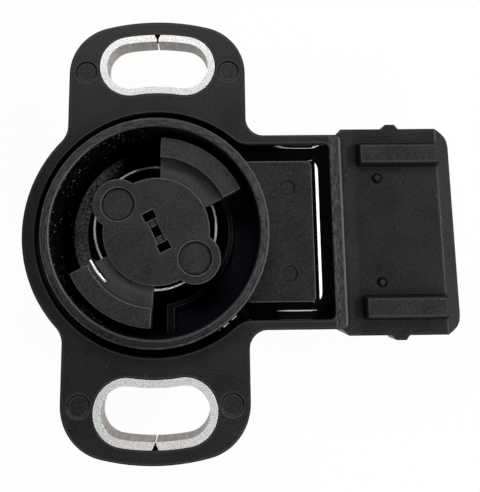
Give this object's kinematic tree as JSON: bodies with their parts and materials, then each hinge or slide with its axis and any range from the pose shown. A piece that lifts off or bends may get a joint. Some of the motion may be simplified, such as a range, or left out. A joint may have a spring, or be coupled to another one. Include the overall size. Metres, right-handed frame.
{
  "type": "throttle position sensor",
  "caption": "Rotary throttle position sensor with slotted metal-bushed ears, a pilot collar round a sprung drive rotor and a side connector socket.",
  "frame": {"origin": "rotor axis at the mounting face of the flange", "axes": "+Z along the rotor axis towards the throttle body, +X towards the connector, the two slotted ears lie along +Y and -Y"},
  "size_m": [0.0562, 0.0562, 0.018],
  "materials": {
    "housing_plastic": "black moulded plastic, satin, scuffed edges",
    "cover_plastic": "black moulded plastic, satin",
    "rotor_plastic": "dark grey glass-filled plastic, fine grain",
    "bush_metal": "plated steel strip, brushed, bright sheared edge",
    "spring_steel": "bright drawn spring wire",
    "sealant": "glossy black potting resin",
    "holder_plastic": "natural moulded plastic",
    "contact_metal": "phosphor bronze strip",
    "plate_ceramic": "fired ceramic plate, matt",
    "track_ink": "printed carbon film",
    "terminal_metal": "tin plated brass blade",
    "solder": "bright solder"
  },
  "bodies": {
    "base": {"housing": "housing_plastic", "top_slot_bush": "bush_metal", "bottom_slot_bush": "bush_metal", "cover": "cover_plastic", "sealant": "sealant", "return_spring": "spring_steel", "resistor_plate": "plate_ceramic", "resistor_tracks": "track_ink", "terminal_1": "terminal_metal", "solder_joint_1": "solder", "terminal_2": "terminal_metal", "solder_joint_2": "solder", "terminal_3": "terminal_metal", "solder_joint_3": "solder", "terminal_4": "terminal_metal", "solder_joint_4": "solder"},
    "turning": {"rotor": "rotor_plastic", "retaining_clip": "spring_steel", "wiper_holder": "holder_plastic", "track_wiper": "contact_metal", "idle_wiper": "contact_metal"}
  },
  "joints": [
    {"name": "rotor_turn", "type": "hinge", "parent": "base", "child": "turning", "pos_m": [0, 0, 0], "axis": [0, 0, -1], "range_deg": [0, 100], "stiffness_Nm_per_rad": 0.0016, "springref_deg": -57.3, "deforming": ["return_spring"]}
  ]
}
